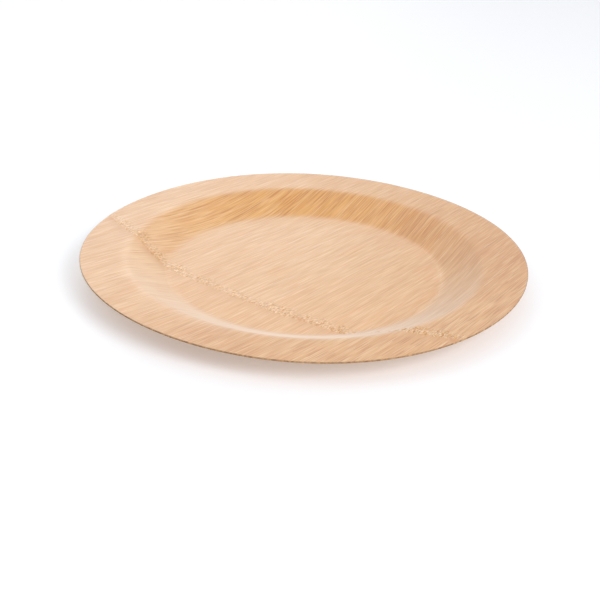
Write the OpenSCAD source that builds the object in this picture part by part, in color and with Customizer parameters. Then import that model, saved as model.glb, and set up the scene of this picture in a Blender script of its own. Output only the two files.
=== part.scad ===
// Round plate, hot-pressed from one sheet of bamboo.
// The sheet keeps its thickness through both bends: flat floor, sloped wall, wide rim.
// The origin is the centre of the underside, which rests on the table. +Z is up.

/* [Sheet] */
// Outside diameter of the plate
plate_d = 230; // [220:1:280]
// Thickness of the bamboo sheet
sheet_t = 0.8; // [0.6:0.1:1.4]
// Radius on the inner side of both pressed bends
bend_r = 11; // [6:0.5:16]
// Rounding of the cut edge, above and below
edge_round = 0.2; // [0.05:0.05:0.25]

/* [Well and rim] */
// Diameter at which the floor would meet the wall without the bend
well_d = 143; // [120:1:150]
// Height of the well, from its floor to where the rim starts
well_depth = 9.6; // [8:0.2:12]
// Slope of the wall above the horizontal, in degrees
wall_deg = 26; // [22:0.5:34]
// Slope of the rim above the horizontal, in degrees, rising outwards
rim_deg = 3.8; // [0:0.1:5]

/* [Culm joint] */
// Radius of the curved line that the culm's joint left across the sheet
scar_r = 440; // [350:5:600]
// Distance from the plate's centre to the nearest point of that line
scar_off = 48; // [10:1:70]
// Bearing of that nearest point, in degrees from +X towards +Y
scar_deg = 235; // [0:1:359]
// Width of the raised line at its foot
scar_w = 4.4; // [2.4:0.2:6]
// Height of the raised line above the sheet
scar_h = 0.24; // [0.12:0.02:0.4]

/* [Hidden] */

plate_r = plate_d / 2;
well_r = well_d / 2;
// Radius at which the wall would meet the rim without the bend
shoulder_r = well_r + well_depth / tan(wall_deg);
// Segments along each bend, along each edge rounding, and round the plate
bend_steps = 6;
edge_steps = 3;
round_steps = 120;
// Segments of the joint's long circle, and how far its band passes the plate, above and below
scar_steps = 360;
scar_margin = 2;
// The raised line swells to its crest in two levels: share of the width, share of the height
scar_levels = [[1, 0.5], [0.5, 1]];

// Height of the rim's upper face and of its underside at radius r
function rim_top(r) = sheet_t + well_depth + (r - shoulder_r) * tan(rim_deg);
function rim_under(r) = rim_top(r) - sheet_t / cos(rim_deg);

// Points on a circle about c from angle a0 to a1
function arc(c, radius, a0, a1, steps) =
    [for (i = [0 : steps]) let (a = a0 + (a1 - a0) * i / steps) c + radius * [cos(a), sin(a)]];

// Centre of the bend between floor and wall, above the sheet
foot_centre = [well_r - bend_r * tan(wall_deg / 2), sheet_t + bend_r];

// Centre of the bend between wall and rim, below the sheet: from the corner of the upper face
// back down the wall to where the bend starts, then square to the wall through the sheet
shoulder_bend = bend_r + sheet_t;
shoulder_back = shoulder_bend * tan((wall_deg - rim_deg) / 2);
shoulder_centre = [shoulder_r, sheet_t + well_depth]
    - shoulder_back * [cos(wall_deg), sin(wall_deg)]
    + shoulder_bend * [sin(wall_deg), -cos(wall_deg)];

// Centres of the two roundings of the cut edge
edge_in = plate_r - edge_round;
edge_upper = [edge_in, rim_top(edge_in) - edge_round / cos(rim_deg)];
edge_lower = [edge_in, rim_under(edge_in) + edge_round / cos(rim_deg)];

// Upper face from the centre outwards, and the underside from the edge back to the centre
upper_face = concat(
    [[0, sheet_t]],
    arc(foot_centre, bend_r, -90, wall_deg - 90, bend_steps),
    arc(shoulder_centre, shoulder_bend, 90 + wall_deg, 90 + rim_deg, bend_steps),
    arc(edge_upper, edge_round, 90 + rim_deg, 0, edge_steps));
underside = concat(
    arc(edge_lower, edge_round, 0, rim_deg - 90, edge_steps),
    arc(shoulder_centre, bend_r, 90 + rim_deg, 90 + wall_deg, bend_steps),
    arc(foot_centre, bend_r + sheet_t, wall_deg - 90, -90, bend_steps),
    [[0, 0]]);

// The pressed sheet: one profile of even thickness, revolved about the plate's axis
module pressed_sheet() {
    rotate_extrude($fn = round_steps)
        polygon(concat(upper_face, underside));
}

// A tall curved band of the given width that follows the joint's line in plan
module scar_band(width) {
    band_h = rim_top(plate_r) + 2 * scar_margin;
    rotate([0, 0, scar_deg])
        translate([scar_off - scar_r, 0, -scar_margin])
            difference() {
                cylinder(h = band_h, r = scar_r + width / 2, $fn = scar_steps);
                translate([0, 0, -scar_margin])
                    cylinder(h = band_h + 2 * scar_margin, r = scar_r - width / 2, $fn = scar_steps);
            }
}

// The raised line: the sheet lifted a little, and kept only inside the curved band
module joint_scar() {
    for (level = scar_levels)
        intersection() {
            translate([0, 0, scar_h * level[1]])
                pressed_sheet();
            scar_band(scar_w * level[0]);
        }
}

// The whole plate is one solid
module plate() {
    color("#e6c39b") {
        pressed_sheet();
        joint_scar();
    }
}

plate();
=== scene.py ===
from math import cos, pi, radians, sin, tan

import bpy
import numpy as np
from mathutils import Euler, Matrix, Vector


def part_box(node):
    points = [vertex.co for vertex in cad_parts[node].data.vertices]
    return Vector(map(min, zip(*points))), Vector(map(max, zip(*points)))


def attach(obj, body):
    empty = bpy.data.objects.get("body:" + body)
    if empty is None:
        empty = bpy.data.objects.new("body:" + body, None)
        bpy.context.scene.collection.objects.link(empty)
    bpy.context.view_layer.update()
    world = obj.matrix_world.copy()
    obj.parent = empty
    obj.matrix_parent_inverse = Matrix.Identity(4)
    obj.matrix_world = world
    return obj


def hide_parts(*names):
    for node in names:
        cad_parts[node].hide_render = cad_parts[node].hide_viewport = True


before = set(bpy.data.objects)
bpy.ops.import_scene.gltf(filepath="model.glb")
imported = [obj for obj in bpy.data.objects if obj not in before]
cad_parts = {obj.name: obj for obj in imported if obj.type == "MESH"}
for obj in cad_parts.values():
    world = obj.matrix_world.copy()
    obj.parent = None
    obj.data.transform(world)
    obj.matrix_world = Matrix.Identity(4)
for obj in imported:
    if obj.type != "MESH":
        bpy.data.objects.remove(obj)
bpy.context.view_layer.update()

# The plate is one sheet of bamboo, hot-pressed between two dies into a flat well, a sloped wall
# and a wide rim, and trimmed round. The sheet keeps its thickness through both bends.
MM = 0.001
plate_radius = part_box("plate")[1].x
sheet = 0.8 * MM
bend = 11 * MM
well_radius = 71.5 * MM
well_depth = 9.6 * MM
wall_slope = radians(26)
rim_slope = radians(3.8)
cut_rounding = 0.12 * MM
edge_radius = plate_radius - cut_rounding

# The centres of the two bends, worked out from the sheet's upper face
shoulder_radius = well_radius + well_depth / tan(wall_slope)
foot_r = well_radius - bend * tan(wall_slope / 2)
foot_z = sheet + bend
shoulder_back = (bend + sheet) * tan((wall_slope - rim_slope) / 2)
shoulder_r = shoulder_radius - shoulder_back * cos(wall_slope) + (bend + sheet) * sin(wall_slope)
shoulder_z = sheet + well_depth - shoulder_back * sin(wall_slope) - (bend + sheet) * cos(wall_slope)


def pressed_height(r, lift):
    """Height at radius r of the layer of the sheet that lies lift above its underside.
    It is level on the floor, follows a circle about the foot's centre, z = zc - sqrt(b^2 - (r - rc)^2),
    climbs the wall in a straight line, follows a circle about the shoulder's centre,
    z = zc + sqrt(b^2 - (r - rc)^2), and ends in the rim's straight line. All layers share the
    two centres, so the sheet is evenly thick."""
    drop = sheet - lift
    foot_bend = bend + drop
    shoulder_bend = bend + lift
    foot = foot_z - np.sqrt(np.clip(foot_bend**2 - (r - foot_r) ** 2, 0, None))
    wall = sheet + (r - well_radius) * tan(wall_slope) - drop / cos(wall_slope)
    shoulder = shoulder_z + np.sqrt(np.clip(shoulder_bend**2 - (r - shoulder_r) ** 2, 0, None))
    rim = sheet + well_depth + (r - shoulder_radius) * tan(rim_slope) - drop / cos(rim_slope)
    stretches = [
        r < foot_r,
        r < foot_r + foot_bend * sin(wall_slope),
        r < shoulder_r - shoulder_bend * sin(wall_slope),
        r < shoulder_r - shoulder_bend * sin(rim_slope),
    ]
    return np.select(stretches, [np.full_like(r, lift), foot, wall, shoulder], rim)


# The sheet dried a little out of true after pressing: the rim is not quite round and not quite
# level. Each wave is a height in millimetres, a count of crests and the bearing of one crest.
rim_spread = [(-1.46, 0, 0), (0.53, 1, 128), (0.3, 2, 18), (0.2, 3, 64), (0.29, 4, 17)]
rim_rise = [(-0.45, 0, 0), (0.21, 2, 23), (0.38, 3, -23)]


def wave_round(angle, waves):
    """Sum of height * cos(count * (angle - crest)), a smooth wave round the plate."""
    return MM * sum(height * np.cos(count * (angle - radians(crest))) for height, count, crest in waves)


def smooth_step(value, low, high):
    """3 t^2 - 2 t^3 of t = (value - low) / (high - low), held between 0 and 1."""
    t = np.clip((value - low) / (high - low), 0, 1)
    return t * t * (3 - 2 * t)


# The fibres fan out very slightly from a far point, as they do in a flattened culm, and the
# culm's joint left a rough raised line across them, on a circle of its own.
fan_radius = 1600 * MM
fibre_bearing = radians(231)
joint_radius = 440 * MM
joint_offset = 48 * MM
joint_bearing = radians(235)
fibre_rows = 700
edge_crowding = 12

row = (2 * np.arange(fibre_rows) + 1) / fibre_rows - 1
aside = edge_radius * ((edge_crowding + 1) * row - row ** (edge_crowding + 1)) / edge_crowding
fan_turn = np.arcsin(aside / fan_radius)[:, None]
half_chord = np.sqrt(edge_radius**2 - aside**2)[:, None]
chord_middle = fan_radius * np.cos(fan_turn)


def on_plan(turn, reach):
    """Plan position of the point at distance reach from the fan's centre, at angle turn from the
    line through the plate's centre: centre of the fan plus reach times a unit vector."""
    x = reach * np.cos(fibre_bearing + turn) - fan_radius * cos(fibre_bearing)
    y = reach * np.sin(fibre_bearing + turn) - fan_radius * sin(fibre_bearing)
    return x, y


def joint_reach(turn):
    """Distance from the fan's centre to the joint's circle along the fibre at angle turn: with the
    joint's centre lying ahead along that fibre and beside it, ahead + sqrt(radius^2 - beside^2)."""
    x = fan_radius * cos(fibre_bearing) - (joint_radius - joint_offset) * cos(joint_bearing)
    y = fan_radius * sin(fibre_bearing) - (joint_radius - joint_offset) * sin(joint_bearing)
    ahead = x * np.cos(fibre_bearing + turn) + y * np.sin(fibre_bearing + turn)
    beside = y * np.cos(fibre_bearing + turn) - x * np.sin(fibre_bearing + turn)
    return ahead + np.sqrt(joint_radius**2 - beside**2)


def grain_noise(across, along, width, length, seed):
    """Smooth noise from -1 to 1: random values on a lattice of cells width by length, blended
    between the four nearest by the weight 3 t^2 - 2 t^3."""
    span = 0.3
    a, b = (across + span / 2) / width, (along + span) / length
    i, j = np.floor(a).astype(int), np.floor(b).astype(int)
    s, t = smooth_step(a - i, 0, 1), smooth_step(b - j, 0, 1)
    values = np.random.default_rng(seed).uniform(-1, 1, (int(span / width) + 3, int(2 * span / length) + 3))
    low = values[i, j] * (1 - t) + values[i, j + 1] * t
    high = values[i + 1, j] * (1 - t) + values[i + 1, j + 1] * t
    return low * (1 - s) + high * s


def bell(distance, width):
    """exp(-(distance / width)^2), a smooth hump of height 1."""
    return np.exp(-((distance / width) ** 2))


def past_joint(across, along):
    """Distance past the joint's line, which strays from its circle in slow and quick wanders."""
    slow = 1.0 * grain_noise(across, 0 * across, 19 * MM, 1, 11)
    quick = 0.5 * grain_noise(across, 0 * across, 4.5 * MM, 1, 12)
    return along - MM * (slow + quick)


# Stretches of the joint where the torn fibres stand thickest: place across, half width, strength
thick_tears = [
    (-92, 5, 0.6), (-77, 6, 0.9), (-62, 5, 0.7), (-45, 6, 0.8), (-27, 5, 0.5), (-5, 6, 0.4), (16, 5, 1.0),
    (24, 3, 0.9), (34, 2, 0.6), (42, 4, 0.9), (53, 3, 0.8), (88, 5, 1.0), (99, 4, 1.0), (109, 4, 0.6),
]


def tear_zone(across, along):
    """How thick the torn fibres stand beside the joint's line, 0 to 1. They reach 1.4 mm past it on
    its near side and 7 to 11 mm on its far side, more where the tears are thick."""
    thin_tears = 0.25
    off = past_joint(across, along)
    thick = sum(strength * bell(across - place * MM, half * MM) for place, half, strength in thick_tears)
    thick = np.clip(thin_tears + thick, 0, 1)
    reach = (6 + 5 * thick) * MM
    zone = smooth_step(off, -reach, -0.3 * reach) * smooth_step(off, 1.4 * MM, 0.4 * MM)
    return zone * (0.45 + 0.55 * thick)


def torn_fibres(across, along):
    """Raised fibre ends (above 0) and the pits between them (below 0), within the tears' zone."""
    long_ends = grain_noise(across, along, 0.7 * MM, 1.8 * MM, 5)
    short_ends = grain_noise(across, along, 0.55 * MM, 0.9 * MM, 8)
    return tear_zone(across, along) * (long_ends + 0.6 * short_ends)


# The upper face's ribs and swells: height, width and length in millimetres, and seed
upper_ribs = [(0.010, 0.8, 90, 1), (0.008, 1.9, 120, 2), (0.025, 7, 150, 3)]


def upper_relief(across, along):
    """Height of the upper face above the die's form: fine ribs and shallow swells along the
    fibres, a few open splits, and the joint's low ridge, rough with torn fibre ends."""
    split_depth, ridge_height, torn_height = 0.07, 0.11, 0.03
    ribs = sum(
        height * grain_noise(across, along, width * MM, length * MM, seed)
        for height, width, length, seed in upper_ribs
    )
    split_open = np.clip(grain_noise(across, along, 1.2 * MM, 34 * MM, 4) - 0.72, 0, 0.2) / 0.2
    off = past_joint(across, along)
    uneven = 0.75 + 0.25 * grain_noise(across, off, 4 * MM, 40 * MM, 6)
    ridge = ridge_height * bell(off + 1.0 * MM, 2.6 * MM) * uneven
    return MM * (ribs - split_depth * split_open + ridge + torn_height * torn_fibres(across, along))


def under_relief(across, along):
    """Height of the underside above the die's form: fine ribs only, pressed inwards."""
    half_height = 0.016 * MM
    return half_height * (grain_noise(across, along, 1.0 * MM, 70 * MM, 7) + 1)


def sheet_points(turn, reach, lift, relief):
    """Points of one face: the pressed height plus the relief, then moved outwards and up by the
    waves round the rim, which fade to nothing over the wall."""
    x, y = on_plan(turn, reach)
    angle, radius = np.arctan2(y, x), np.hypot(x, y)
    outside = np.clip((radius - well_radius) / (edge_radius - well_radius), 0, 1)
    wider = wave_round(angle, rim_spread) * outside**2
    higher = wave_round(angle, rim_rise) * outside**1.5
    z = pressed_height(radius, lift) + higher + relief(fan_radius * turn, reach - joint_reach(turn))
    return np.stack([x + wider * np.cos(angle), y + wider * np.sin(angle), z], -1)


def crowding(at_joint, at_bends):
    """Steps are shortest where the joint crosses and where the sheet bends."""

    def weight(reach):
        r = np.hypot(*on_plan(fan_turn, reach))
        bends = bell(r - foot_r - 3 * MM, 4 * MM) + bell(r - shoulder_r + 3 * MM, 4 * MM)
        return 1 + at_joint * bell(reach - joint_reach(fan_turn) + 2 * MM, 4.5 * MM) + at_bends * bends

    return weight


def spaced_along(low, high, weight, count):
    """Distances from low to high along every fibre, count on each. Each step is made proportional
    to 1 / weight at its middle, and that is repeated until the steps settle."""
    settling_rounds = 12
    share = np.broadcast_to(np.linspace(0, 1, count), (fibre_rows, count))
    for _ in range(settling_rounds):
        reach = low + (high - low) * share
        step = 1 / weight((reach[:, 1:] + reach[:, :-1]) / 2)
        total = np.cumsum(step, axis=1)
        share = np.hstack([np.zeros((fibre_rows, 1)), total / total[:, -1:]])
    return low + (high - low) * share


# Both ends of every fibre are cut by the die, and tear off a little unevenly. The last step
# before each end is short, for the strip that the hot die singed.
deepest_tear = 0.14 * MM
singe_width = 0.5 * MM
ends = np.random.default_rng(21)
torn = deepest_tear * ends.uniform(0, 1, (2, fibre_rows, 1)) ** 3
torn = np.minimum(torn, half_chord * 0.1)
near_end = chord_middle - half_chord + torn[0]
far_end = chord_middle + half_chord - torn[1]
singed = np.minimum(singe_width, half_chord * 0.3)


def fibre_grid(count, weight):
    """Distances from the fan's centre along every fibre, count on each, both ends included."""
    inner = spaced_along(near_end + singed, far_end - singed, weight, count - 2)
    return np.hstack([near_end, inner, far_end])


upper_reach = fibre_grid(108, crowding(at_joint=7, at_bends=2.4))
under_reach = fibre_grid(26, crowding(at_joint=1, at_bends=3))
upper = sheet_points(fan_turn, upper_reach, sheet, upper_relief)
under = sheet_points(fan_turn, under_reach, 0, under_relief)

# The two poles, where the fibre rows run out, lie on the edge beside the first and last row
pole_turn = np.arcsin(np.array([[-edge_radius], [edge_radius]]) / fan_radius)
pole_reach = fan_radius * np.cos(pole_turn)
upper_poles = sheet_points(pole_turn, pole_reach, sheet, upper_relief)[:, 0]
under_poles = sheet_points(pole_turn, pole_reach, 0, under_relief)[:, 0]


def outline(grid, poles):
    """The face's boundary, anticlockwise from above: first pole, far ends, second pole, near ends."""
    return np.concatenate([poles[:1], grid[:, -1], poles[1:], grid[::-1, 0]])


upper_loop, under_loop = outline(upper, upper_poles), outline(under, under_poles)
outward = upper_loop[:, :2] / np.hypot(upper_loop[:, 0], upper_loop[:, 1])[:, None]
cut_upper, cut_lower = upper_loop.copy(), under_loop.copy()
cut_upper[:, :2] += cut_rounding * outward
cut_upper[:, 2] -= cut_rounding
cut_lower[:, :2] = cut_upper[:, :2]
cut_lower[:, 2] += cut_rounding

# All the points in one list, and the number of the first of each group
groups = [upper.reshape(-1, 3), under.reshape(-1, 3), upper_poles, under_poles, cut_upper, cut_lower]
first = np.cumsum([0] + [len(g) for g in groups])
upper_id = np.arange(first[0], first[1]).reshape(upper.shape[:2])
under_id = np.arange(first[1], first[2]).reshape(under.shape[:2])
upper_pole_id = np.arange(first[2], first[3])
under_pole_id = np.arange(first[3], first[4])


def grid_quads(ids):
    """Quads of a grid of point numbers, facing up when rows run across and columns along."""
    return np.stack([ids[:-1, :-1], ids[:-1, 1:], ids[1:, 1:], ids[1:, :-1]], -1).reshape(-1, 4)


def pole_fans(ids, poles):
    """Triangles that close the grid at its two poles, facing up."""
    start = np.stack([np.full(ids.shape[1] - 1, poles[0]), ids[0, 1:], ids[0, :-1]], -1)
    end = np.stack([np.full(ids.shape[1] - 1, poles[1]), ids[-1, :-1], ids[-1, 1:]], -1)
    return np.vstack([start, end])


def ring_quads(upper_ring, lower_ring):
    """Quads of the wall between two closed rings of point numbers, facing outwards."""
    after_upper, after_lower = np.roll(upper_ring, -1), np.roll(lower_ring, -1)
    return np.stack([upper_ring, lower_ring, after_lower, after_upper], -1)


rings = [
    outline(upper_id, upper_pole_id),
    np.arange(first[4], first[5]),
    np.arange(first[5], first[6]),
    outline(under_id, under_pole_id),
]
upper_quads, under_quads = grid_quads(upper_id), grid_quads(under_id)[:, ::-1]
upper_fans, under_fans = pole_fans(upper_id, upper_pole_id), pole_fans(under_id, under_pole_id)[:, ::-1]
cut_quads = np.vstack([ring_quads(rings[k], rings[k + 1]) for k in range(3)])

points = np.vstack(groups)
quads = np.vstack([upper_quads, under_quads, cut_quads])
fans = np.vstack([upper_fans, under_fans])
corners = np.concatenate([quads.ravel(), fans.ravel()])
starts = np.concatenate([4 * np.arange(len(quads)), 4 * len(quads) + 3 * np.arange(len(fans))])

# Each face's finish: 0 is the pressed sheet, 1 the cut edge and 2 a pit between torn ends
finish = np.zeros(len(starts), int)
finish[len(upper_quads) + len(under_quads) : len(quads)] = 1
mesh = bpy.data.meshes.new("bamboo_sheet")
mesh.vertices.add(len(points))
mesh.vertices.foreach_set("co", points.astype(np.float32).ravel())
mesh.loops.add(len(corners))
mesh.loops.foreach_set("vertex_index", corners)
mesh.polygons.add(len(starts))
mesh.polygons.foreach_set("loop_start", starts)
mesh.polygons.foreach_set("use_smooth", np.ones(len(starts), bool))
mesh.update(calc_edges=True)

# The cut's two corners are crisp, so shading stops there
on_cut = np.zeros(len(points), int)
on_cut[np.concatenate([rings[0], rings[3]])] = 1
edge_ends = np.empty(2 * len(mesh.edges), int)
mesh.edges.foreach_get("vertices", edge_ends)
crisp = on_cut[edge_ends].reshape(-1, 2).all(axis=1)
mesh.attributes.new("sharp_edge", "BOOLEAN", "EDGE").data.foreach_set("value", crisp)

# The grain's coordinates, across the fibres and along them from the joint's circle
GRAIN_UNIT = 0.1
UNDERSIDE_ASIDE = 0.4


def grain_of(reach):
    """Across and along of a grid's points: the turn times the fan's radius, and the distance
    along the fibre from the joint's circle."""
    across = np.broadcast_to(fan_turn * fan_radius, reach.shape)
    return np.stack([across, reach - joint_reach(fan_turn)], -1)


pole_grain = np.hstack([pole_turn * fan_radius, pole_reach - joint_reach(pole_turn)])
upper_grain, under_grain = grain_of(upper_reach), grain_of(under_reach)
loop_grain = outline(upper_grain, pole_grain)
grain = np.vstack([
    upper_grain.reshape(-1, 2), under_grain.reshape(-1, 2), pole_grain, pole_grain, loop_grain, loop_grain,
])
across, along = grain.T
is_under = np.zeros(len(points))
is_under[under_id] = 1
is_under[under_pole_id] = 1
grain_map = mesh.uv_layers.new(name="grain")
mapped = (grain + np.stack([UNDERSIDE_ASIDE * is_under, 0 * is_under], -1)) / GRAIN_UNIT
grain_map.uv.foreach_set("vector", mapped[corners].astype(np.float32).ravel())


def point_value(name, values):
    """Stores one number for each point, for the material to read."""
    mesh.attributes.new(name, "FLOAT", "POINT").data.foreach_set("value", values.astype(np.float32))


point_value("past_joint", past_joint(across, along) / MM)
tears = torn_fibres(across, along) * (1 - is_under)
point_value("tear_zone", tear_zone(across, along) * (1 - is_under))

# The pits between the torn ends are bare of the sheet's sheen, so their faces get a finish of
# their own
pit_level = -0.26
pitted = tears[upper_quads].mean(axis=1) < pit_level
finish[: len(upper_quads)][pitted] = 2
mesh.polygons.foreach_set("material_index", finish)

# Where the sheet is darker or lighter, in patches: place, radius and strength
patches = [
    (104, 10, 34, -0.26),
    (10, 104, 30, -0.05),
    (98, -48, 26, -0.08),
    (-40, -90, 24, -0.18),
    (-58, -36, 20, -0.10),
    (20, 30, 55, 0.05),
    (64, 54, 24, -0.18),
    (-66, 50, 28, 0.12),
]
distances = [(np.hypot(points[:, 0] - x * MM, points[:, 1] - y * MM), r * MM, k) for x, y, r, k in patches]
radius = np.hypot(points[:, 0], points[:, 1])
bearing = np.arctan2(points[:, 1], points[:, 0])


def towards(degrees, width):
    """1 at a bearing, fading to 0 on both sides of it."""
    aside = np.angle(np.exp(1j * (bearing - radians(degrees))))
    return bell(aside, radians(width))


# Painted light: the back of the wall gets a brighter, more saturated colour, standing in for the
# front lamp's light that it faces and the light bounced inside the well. The plate is duller on its
# right and in front, the wall's left gets a painted pale sheen, and the rim is more scratched in
# front and on the right.
beyond_foot = smooth_step(radius, foot_r, foot_r + 5 * MM)
on_wall = beyond_foot * smooth_step(radius, shoulder_r + 3 * MM, shoulder_r - 6 * MM)
# Painted light: where the back of the wall is coloured brighter and more saturated, for the light it
# catches
painted_light_zone = on_wall * towards(85, 75)
point_value("painted_wall_light", painted_light_zone)
dull_sides = towards(5, 50) + 0.7 * towards(-85, 45)
point_value("dull", beyond_foot * dull_sides)
# Painted sheen: a pale patch on the front left of the wall, standing in for its glossy reflection
point_value("painted_sheen", on_wall * towards(-155, 50))
scratched_rim = smooth_step(radius, shoulder_r - 4 * MM, shoulder_r + 6 * MM) * towards(-50, 80)
point_value("scratched", scratched_rim + 0.6 * painted_light_zone)
point_value("tone", sum(k * bell(distance, width) for distance, width, k in distances))

# Orange stains beside the joint: place across and along, half size across and along, strength
stain_spots = [
    (34, -0.5, 2.4, 1.6, 0.6), (108, 0.5, 3.0, 1.6, 0.8), (-100, 0, 3.0, 2.0, 0.5), (-64, 1.5, 6, 2.5, 0.3),
    (-88, 2, 6, 3, 0.3), (14, 2.0, 7, 2.5, 0.25),
]
stains = sum(
    strength * bell(across - beside * MM, wide * MM) * bell(along - ahead * MM, deep * MM)
    for beside, ahead, wide, deep, strength in stain_spots
)
point_value("stains", np.clip(stains, 0, 1) * (1 - is_under))

singed_strip = np.zeros(len(points))
singed_strip[np.concatenate(rings)] = 1
point_value("singed", singed_strip)

# Dark fibres that stand out one by one: distance across, the two ends along, strength. The first
# ones are where the photograph shows them, and the rest are scattered.
dark_fibres = [
    (-72.1, -95, -59, 0.9), (-70.9, -91, -63, 0.5), (-59.1, -121, -92, 0.6), (-87.0, -78, -24, 0.6),
    (18.0, -152, -116, 1.0), (14.2, -140, -113, 0.7), (15.7, -165, -143, 0.5), (67.5, -128, -108, 0.8),
    (67.0, -119, -100, 0.6), (108.5, -53, -35, 0.6), (11.7, 41, 62, 0.6), (17.5, 22, 62, 0.6),
    (26.8, 33, 62, 0.8), (1.7, 37, 60, 0.5), (23.0, -97, -8, 0.35), (46.0, -60, -20, 0.3),
]
scatter = np.random.default_rng(33)
for _ in range(90):
    beside, middle = scatter.uniform(-112, 112), scatter.uniform(-150, 64)
    half_length, strength = scatter.uniform(6, 32), scatter.uniform(-0.25, 0.45)
    dark_fibres.append((beside, middle - half_length, middle + half_length, strength))
fibre_width = 0.34 * MM
fade = 5 * MM
fibres = np.zeros(len(points))
for beside, start, end, strength in dark_fibres:
    after_start = smooth_step(along, start * MM, start * MM + fade)
    before_end = smooth_step(along, end * MM, end * MM - fade)
    fibres += strength * bell(across - beside * MM, fibre_width) * (after_start * before_end)
point_value("fibres", fibres * (1 - is_under))


def add_node(tree, kind, inputs, **settings):
    """Adds a shader node. An input that is a socket is linked, and any other is set."""
    made = tree.nodes.new("ShaderNode" + kind)
    for name, value in settings.items():
        setattr(made, name, value)
    for key, value in inputs.items():
        if isinstance(value, bpy.types.NodeSocket):
            tree.links.new(value, made.inputs[key])
        else:
            made.inputs[key].default_value = value
    return made


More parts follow.
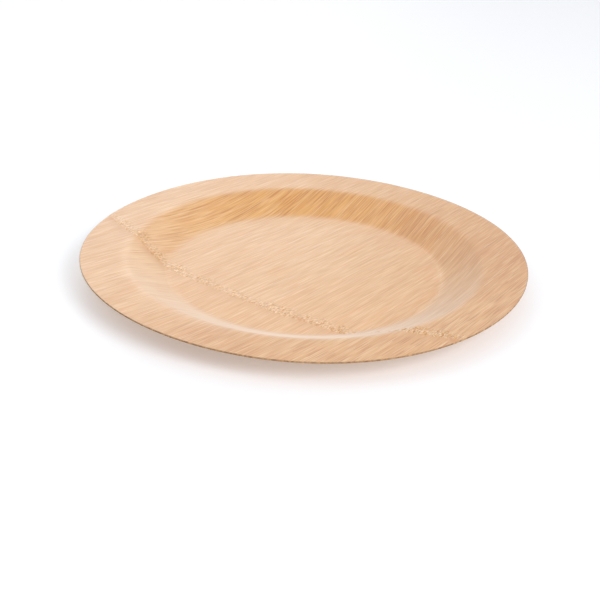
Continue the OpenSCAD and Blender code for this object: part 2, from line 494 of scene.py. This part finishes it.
def bamboo(name, sheen):
    """Bare pressed bamboo. Everything runs on the grain's coordinates, in decimetres: u across the
    fibres and v along them. The streaks on the two sides of the joint are different ones."""
    material = bpy.data.materials.new(name)
    material.use_nodes = True
    tree = material.node_tree
    shader = tree.nodes["Principled BSDF"]

    def calc(operation, a, b, c=0.0):
        return add_node(tree, "Math", {0: a, 1: b, 2: c}, operation=operation).outputs[0]

    def between(value, low, high, to_low=0.0, to_high=1.0):
        """value taken from low..high to to_low..to_high by a smooth step."""
        return add_node(tree, "MapRange", {"Value": value, "From Min": low, "From Max": high,
                                           "To Min": to_low, "To Max": to_high},
                        interpolation_type="SMOOTHSTEP").outputs["Result"]

    def mixed(factor, a, b):
        return add_node(tree, "Mix", {0: factor, 6: a, 7: b}, data_type="RGBA").outputs[2]

    def stored(name):
        return add_node(tree, "Attribute", {}, attribute_name=name).outputs["Fac"]

    grain_at = add_node(tree, "UVMap", {}, uv_map="grain").outputs["UV"]
    past = stored("past_joint")
    side = calc("MULTIPLY_ADD", calc("GREATER_THAN", past, 0.3), 0.5, 1.0)
    split = add_node(tree, "SeparateXYZ", {0: grain_at})
    fibre_at = add_node(tree, "CombineXYZ", {0: split.outputs["X"], 1: split.outputs["Y"], 2: side})

    def noise(width, length, slice_at, detail=0.0, roughness=0.5):
        """Noise drawn out along the fibres, its cells width by length in millimetres."""
        cells = (100 / width, 100 / length, slice_at)
        scaled = add_node(tree, "VectorMath", {0: fibre_at.outputs[0], 1: cells},
                          operation="MULTIPLY").outputs["Vector"]
        return add_node(tree, "TexNoise", {"Vector": scaled, "Scale": 1.0, "Detail": detail,
                                           "Roughness": roughness}).outputs["Fac"]

    # Streaks: width and length in millimetres, slice of the noise, and weight in the level
    layers = [(0.5, 22, 3.1, 0.5), (0.45, 9, 5.7, 0.35), (0.9, 50, 7.3, 0.25), (9, 120, 17.9, 0.2)]
    streaks = [noise(width, length, slice_at) for width, length, slice_at, _ in layers]
    fine = streaks[0]
    level = 0.5 - 0.5 * sum(weight for *_, weight in layers)
    for streak, (*_, weight) in zip(streaks, layers):
        level = calc("MULTIPLY_ADD", streak, weight, level)
    level = calc("ADD", level, stored("tone"))

    def streaked(dark, medium, pale):
        """Colour of the streaks at each level."""
        ramp = tree.nodes.new("ShaderNodeValToRGB")
        ramp.color_ramp.elements[0].position, ramp.color_ramp.elements[0].color = 0.1, dark
        ramp.color_ramp.elements[1].position, ramp.color_ramp.elements[1].color = 0.9, pale
        ramp.color_ramp.elements.new(0.5).color = medium
        tree.links.new(level, ramp.inputs["Fac"])
        return ramp.outputs["Color"]

    bare = streaked((0.52, 0.21, 0.05, 1), (0.62, 0.32, 0.11, 1), (0.71, 0.43, 0.19, 1))
    # Painted light: a brighter, more saturated ramp for the back of the wall, standing in for lamp and
    # bounced light
    painted_wall_light_ramp = streaked((0.47, 0.18, 0.03, 1), (0.65, 0.33, 0.10, 1), (0.80, 0.46, 0.18, 1))
    colour = mixed(stored("painted_wall_light"), bare, painted_wall_light_ramp)
    # Painted sheen: the front left of the wall is mixed towards a pale colour in place of a reflection
    painted_sheen_colour = (0.89, 0.62, 0.39, 1)
    colour = mixed(calc("MULTIPLY", stored("painted_sheen"), 0.5), colour, painted_sheen_colour)

    # Single darker and paler fibres, then blotches, pale lines and the dark lines of the vessels
    dark_fibre = stored("fibres")
    burnt_brown, straw = (0.34, 0.13, 0.035, 1), (0.78, 0.57, 0.34, 1)
    colour = mixed(between(dark_fibre, 0.02, 1.0, 0, 0.62), colour, burnt_brown)
    colour = mixed(between(dark_fibre, -0.02, -0.4, 0, 0.4), colour, straw)
    blotches = between(noise(5, 24, 13.9, detail=1.0), 0.5, 0.72, 0, 0.3)
    honey, cream, russet = (0.66, 0.29, 0.075, 1), (0.84, 0.58, 0.34, 1), (0.46, 0.165, 0.03, 1)
    colour = mixed(blotches, colour, honey)
    pale_lines = between(noise(0.42, 16, 19.7), 0.57, 0.66, 0, 0.32)
    colour = mixed(pale_lines, colour, cream)
    vessels = between(noise(0.45, 16, 23.3), 0.56, 0.66, 0, 1)
    vessels = calc("MULTIPLY", vessels, calc("MULTIPLY_ADD", stored("scratched"), 0.6, 0.27))
    colour = mixed(vessels, colour, russet)

    # The joint: an orange cast on its near side, pale torn ends and golden brown pits; the pits' dark
    # colour is partly painted shade, falling where the bump is low
    clusters = noise(8, 60, 29.1, detail=1.0)
    flecks = noise(0.5, 1.5, 37.7, detail=1.0, roughness=0.6)
    cast = calc("MULTIPLY", between(past, -0.8, 0.6), between(past, 8.0, 0.6))
    torn = stored("tear_zone")
    tints = [
        (cast, between(clusters, 0.3, 0.6, 0.15, 0.6), (0.56, 0.26, 0.085, 1)),
        (torn, between(clusters, 0.35, 0.6, 0.1, 0.45), (0.60, 0.28, 0.075, 1)),
        (torn, between(flecks, 0.53, 0.64, 0, 0.6), (0.90, 0.66, 0.40, 1)),
        # Partly painted shade: the pits darken where the bump sinks
        (torn, between(flecks, 0.48, 0.36, 0, 0.85), (0.40, 0.19, 0.05, 1)),
    ]
    for place, strength, tint in tints:
        colour = mixed(calc("MULTIPLY", place, strength), colour, tint)
    stain_orange, singed_brown = (0.55, 0.22, 0.05, 1), (0.26, 0.13, 0.05, 1)
    colour = mixed(stored("stains"), colour, stain_orange)
    colour = mixed(calc("MULTIPLY", stored("singed"), 0.7), colour, singed_brown)

    height = calc("MULTIPLY_ADD", vessels, -1.0, fine)
    height = calc("MULTIPLY_ADD", calc("MULTIPLY", torn, flecks), 2.0, height)
    relief = add_node(tree, "Bump", {"Strength": 0.4, "Distance": 0.0001, "Height": height})
    tree.links.new(colour, shader.inputs["Base Color"])
    roughness = calc("MULTIPLY_ADD", stored("dull"), 0.2, between(fine, 0.3, 0.7, 0.5, 0.38))
    tree.links.new(roughness, shader.inputs["Roughness"])
    tree.links.new(relief.outputs["Normal"], shader.inputs["Normal"])
    shader.inputs["Specular IOR Level"].default_value = 0.5
    shader.inputs["Sheen Weight"].default_value = sheen
    shader.inputs["Sheen Roughness"].default_value = 0.5
    shader.inputs["Sheen Tint"].default_value = (1.0, 0.97, 0.93, 1)
    return material


def cut_edge():
    """The trimmed edge: brown, dotted with the ends of the fibres."""
    material = bpy.data.materials.new("cut_edge")
    material.use_nodes = True
    tree = material.node_tree
    shader = tree.nodes["Principled BSDF"]
    grain_at = add_node(tree, "UVMap", {}, uv_map="grain").outputs["UV"]
    place = add_node(tree, "VectorMath", {0: grain_at, 1: (90, 60, 0)},
                     operation="MULTIPLY").outputs["Vector"]
    dots = add_node(tree, "TexNoise", {"Vector": place, "Scale": 1.0, "Detail": 2.0}).outputs["Fac"]
    ramp = tree.nodes.new("ShaderNodeValToRGB")
    ramp.color_ramp.elements[0].position, ramp.color_ramp.elements[0].color = 0.35, (0.22, 0.105, 0.04, 1)
    ramp.color_ramp.elements[1].position, ramp.color_ramp.elements[1].color = 0.7, (0.52, 0.31, 0.145, 1)
    tree.links.new(dots, ramp.inputs["Fac"])
    tree.links.new(ramp.outputs["Color"], shader.inputs["Base Color"])
    shader.inputs["Roughness"].default_value = 0.7
    return material


mesh.materials.append(bamboo("pressed_bamboo", sheen=0.62))
mesh.materials.append(cut_edge())
mesh.materials.append(bamboo("torn_bamboo", sheen=0.0))
plate = bpy.data.objects.new("bamboo_sheet", mesh)
bpy.context.scene.collection.objects.link(plate)
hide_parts("plate")
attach(plate, "root")

# The table is a plain white surface, wide enough to fill the picture. It glows a little, as an
# overexposed white ground does, so that shadows on it stay pale.
table_half = 4.0
table_mesh = bpy.data.meshes.new("table")
table_corners = [(-table_half, -table_half, 0), (table_half, -table_half, 0),
                 (table_half, table_half, 0), (-table_half, table_half, 0)]
table_mesh.from_pydata(table_corners, [], [(0, 1, 2, 3)])
table = bpy.data.objects.new("table", table_mesh)
bpy.context.scene.collection.objects.link(table)
table_paint = bpy.data.materials.new("table_paint")
table_paint.use_nodes = True
paint = table_paint.node_tree.nodes["Principled BSDF"]
paint.inputs["Base Color"].default_value = (0.705, 0.725, 0.76, 1)
paint.inputs["Roughness"].default_value = 0.6
paint.inputs["Emission Color"].default_value = (1.0, 1.0, 1.0, 1)
paint.inputs["Emission Strength"].default_value = 0.25
table_mesh.materials.append(table_paint)

# The light: an even white room, a soft lamp in front on the right, a weaker one on the left,
# and a white card behind that only mirrors in the sheet and gives it its pale gloss
room = bpy.data.worlds.new("room")
bpy.context.scene.world = room
room.use_nodes = True
room.node_tree.nodes["Background"].inputs["Color"].default_value = (1.0, 1.0, 1.0, 1)
room.node_tree.nodes["Background"].inputs["Strength"].default_value = 0.68


def soft_lamp(name, bearing, height, distance, width, tall, power):
    """A rectangular lamp at a bearing and a height above the horizon, facing the plate."""
    light = bpy.data.lights.new(name, "AREA")
    light.shape = "RECTANGLE"
    light.size, light.size_y = width, tall
    light.energy = power
    lamp = bpy.data.objects.new(name, light)
    bpy.context.scene.collection.objects.link(lamp)
    turn, lift = radians(bearing), radians(height)
    place = distance * Vector((cos(turn) * cos(lift), sin(turn) * cos(lift), sin(lift)))
    lamp.location = place
    lamp.rotation_euler = place.to_track_quat("Z", "Y").to_euler()
    return lamp


soft_lamp("key", bearing=-42, height=35, distance=1.6, width=0.9, tall=0.9, power=16.3)
soft_lamp("fill", bearing=190, height=46, distance=1.6, width=0.8, tall=0.8, power=2.5)
card = soft_lamp("back_card", bearing=114, height=30, distance=1.9, width=1.9, tall=1.0, power=16)
card.visible_diffuse = False

# The camera stands where the photograph's did: its distance, height and small turns were fitted
# to the plate's rim and wall circles, and its lens to their size in the frame
camera_distance = 4.8 * plate_radius
camera_height = radians(25.2515)
camera_pan = radians(0.1955)
camera_tilt = radians(-1.673)
camera_roll = radians(2.55)
focal_pixels = 1060.5
frame_pixels = 600

lens = bpy.data.cameras.new("camera")
lens.sensor_width = 36
lens.lens = focal_pixels / frame_pixels * lens.sensor_width
camera = bpy.data.objects.new("camera", lens)
bpy.context.scene.collection.objects.link(camera)
camera.location = (0, -camera_distance * cos(camera_height), camera_distance * sin(camera_height) + sheet)
aim = Euler((pi / 2 - camera_height, 0, 0)).to_matrix()
small_turns = [Euler((0, camera_pan, 0)), Euler((camera_tilt, 0, 0)), Euler((0, 0, camera_roll))]
for step in small_turns:
    aim = aim @ step.to_matrix()
camera.rotation_euler = aim.to_euler()
bpy.context.scene.camera = camera
bpy.context.scene.view_settings.view_transform = "Standard"
